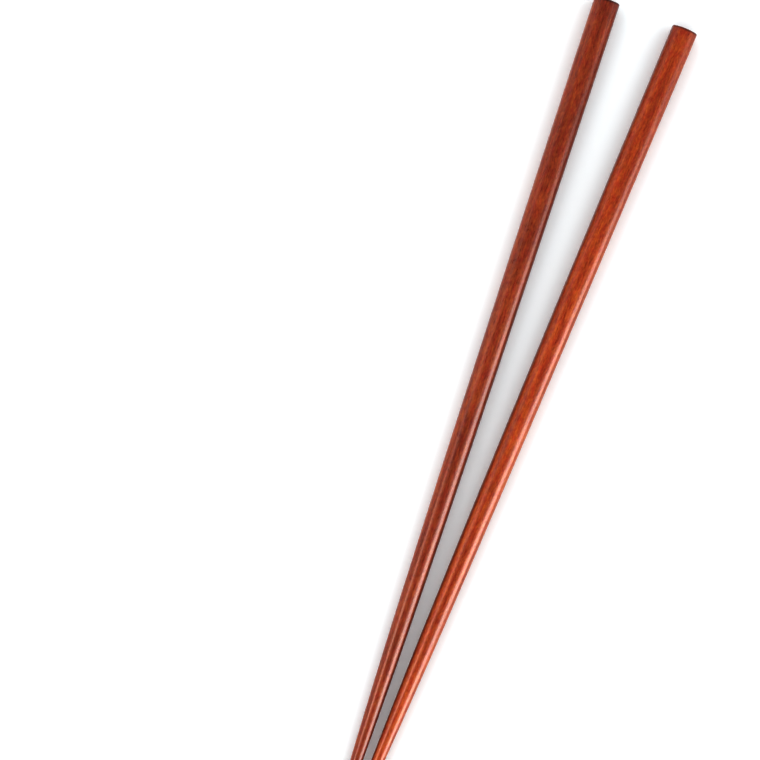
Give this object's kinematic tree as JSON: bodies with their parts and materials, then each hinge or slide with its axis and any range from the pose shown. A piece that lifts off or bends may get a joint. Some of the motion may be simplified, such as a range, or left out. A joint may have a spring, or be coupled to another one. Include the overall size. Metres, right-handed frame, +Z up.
{
  "type": "pair of chopsticks",
  "caption": "Lacquered wooden chopsticks lying side by side, square with rounded corners at the butt and tapering to a round tip, for picking up food.",
  "frame": {"origin": "on the table, under the middle of the box around both sticks", "axes": "+Y runs between the sticks from the tips to the butts, +X from the left stick to the right one, +Z up from the table"},
  "size_m": [0.0302, 0.2398, 0.0074],
  "materials": {
    "lacquered_wood": "satin clear lacquer over fine-grained red-brown wood"
  },
  "bodies": {
    "root": {"left_chopstick": "lacquered_wood", "right_chopstick": "lacquered_wood"}
  },
  "joints": []
}
